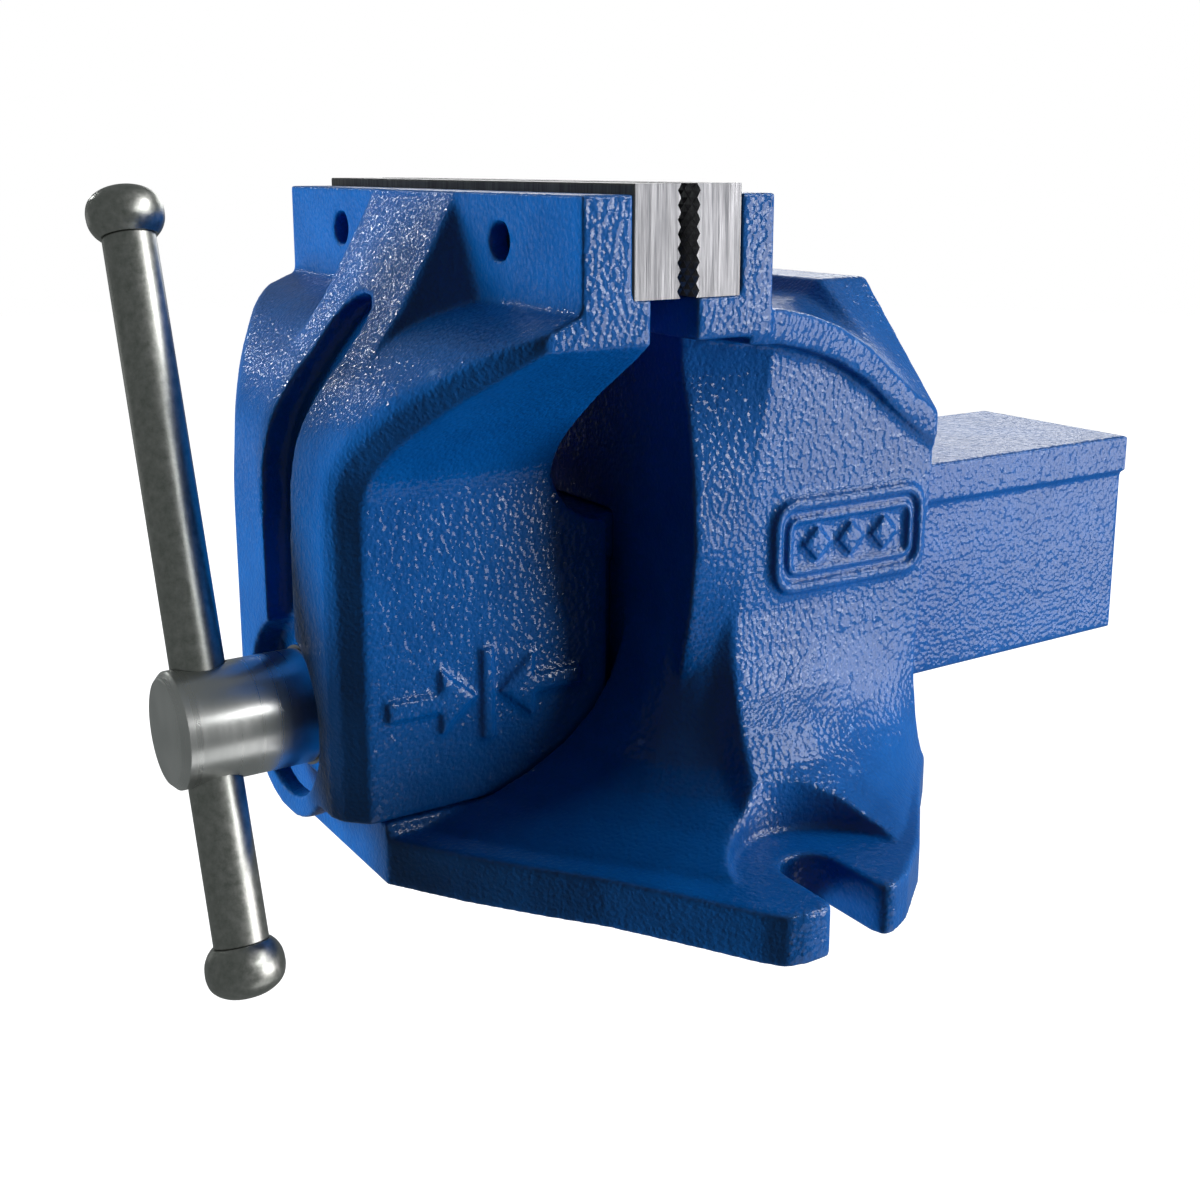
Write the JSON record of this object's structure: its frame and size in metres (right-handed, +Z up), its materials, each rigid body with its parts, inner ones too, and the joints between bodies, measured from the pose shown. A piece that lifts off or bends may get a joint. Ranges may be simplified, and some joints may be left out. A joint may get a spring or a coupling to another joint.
{
  "type": "bench vise",
  "caption": "Bench vise with cast jaws, lipped slide, steel jaw plates, main screw and sliding tommy bar.",
  "frame": {"origin": "Centre of the underside of the base, midway between the two bolt slots", "axes": "+X across the jaws, -Y towards the operator and the screw head, +Z up"},
  "size_m": [0.1736, 0.2237, 0.1394],
  "materials": {
    "blue_paint": "gloss",
    "ground_steel": "satin",
    "turned_steel": "satin",
    "satin_steel": "satin",
    "black_steel": "matte",
    "plated_steel": "satin",
    "bare_iron": "matte",
    "bronze": "satin"
  },
  "bodies": {
    "base": {"fixed_body": "blue_paint", "rear_jaw_plate": "ground_steel", "rear_plate_screws": "black_steel", "drive_nut": "bare_iron", "nut_screws": "black_steel", "nut_washers": "plated_steel", "nut_dowels": "ground_steel"},
    "jaw": {"moving_jaw": "blue_paint", "front_jaw_plate": "ground_steel", "front_plate_screws": "black_steel", "screw_bush": "bronze", "thrust_washer": "plated_steel", "screw_spring": "black_steel"},
    "screw": {"main_screw": "turned_steel", "collar_washer": "plated_steel", "collar_pin": "plated_steel", "stop_washer": "plated_steel", "stop_pin": "plated_steel"},
    "bar": {"tommy_bar": "satin_steel", "upper_knob": "satin_steel", "lower_knob": "satin_steel"}
  },
  "joints": [
    {"name": "jaw_slide", "type": "slide", "parent": "base", "child": "jaw", "axis": [0, -1, 0], "range_m": [-0.003, 0.097]},
    {"name": "screw_turn", "type": "hinge", "parent": "jaw", "child": "screw", "pos_m": [0, -0.0753, 0.025], "axis": [0, -1, 0], "range_deg": [-271, 8731]},
    {"name": "bar_slide", "type": "slide", "parent": "screw", "child": "bar", "axis": [-0.3289, 0, 0.9444], "range_m": [-0.0775, 0.0274]}
  ],
  "couplings": [
    {"joint": "screw_turn", "follows": "jaw_slide", "rad_per_m": 1570.8}
  ]
}
